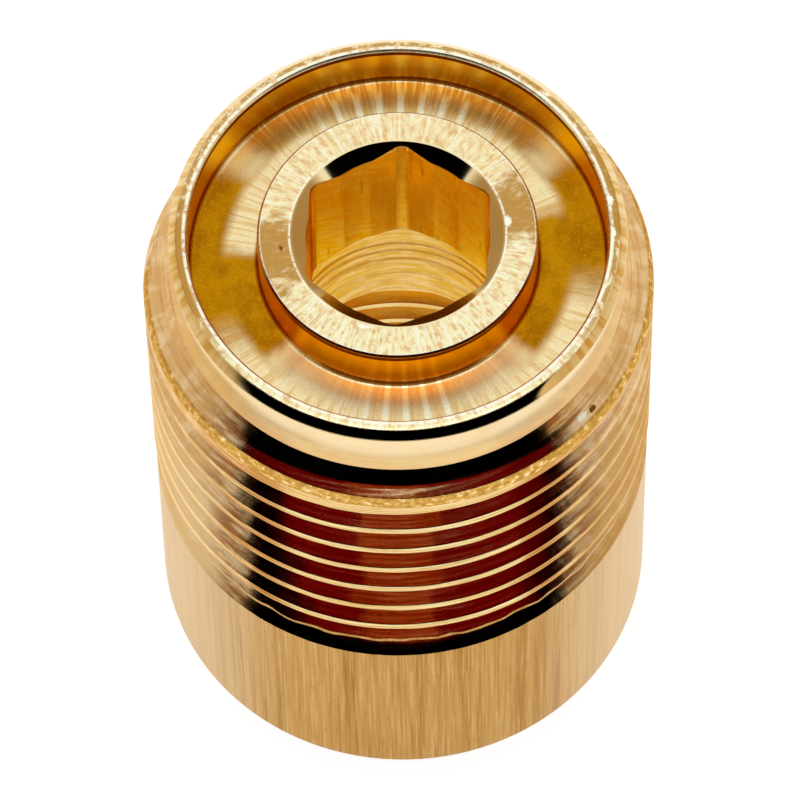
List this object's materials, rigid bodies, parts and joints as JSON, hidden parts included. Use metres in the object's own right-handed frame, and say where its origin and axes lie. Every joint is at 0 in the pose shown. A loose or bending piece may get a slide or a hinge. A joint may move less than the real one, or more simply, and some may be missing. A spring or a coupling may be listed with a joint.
{
  "type": "thread adapter",
  "caption": "Turned brass thread adapter: male thread on the outside, female thread in the base, hex key socket in a boss inside a seal recess.",
  "frame": {"origin": "centre of the base, the face that it stands on, on the axis of both threads", "axes": "+Z along the axis of both threads, from the base with the female thread to the rim with the seal recess"},
  "size_m": [0.0218, 0.0218, 0.0292],
  "materials": {
    "brass": "bright machined"
  },
  "bodies": {
    "root": {"adapter_body": "brass"}
  },
  "joints": []
}
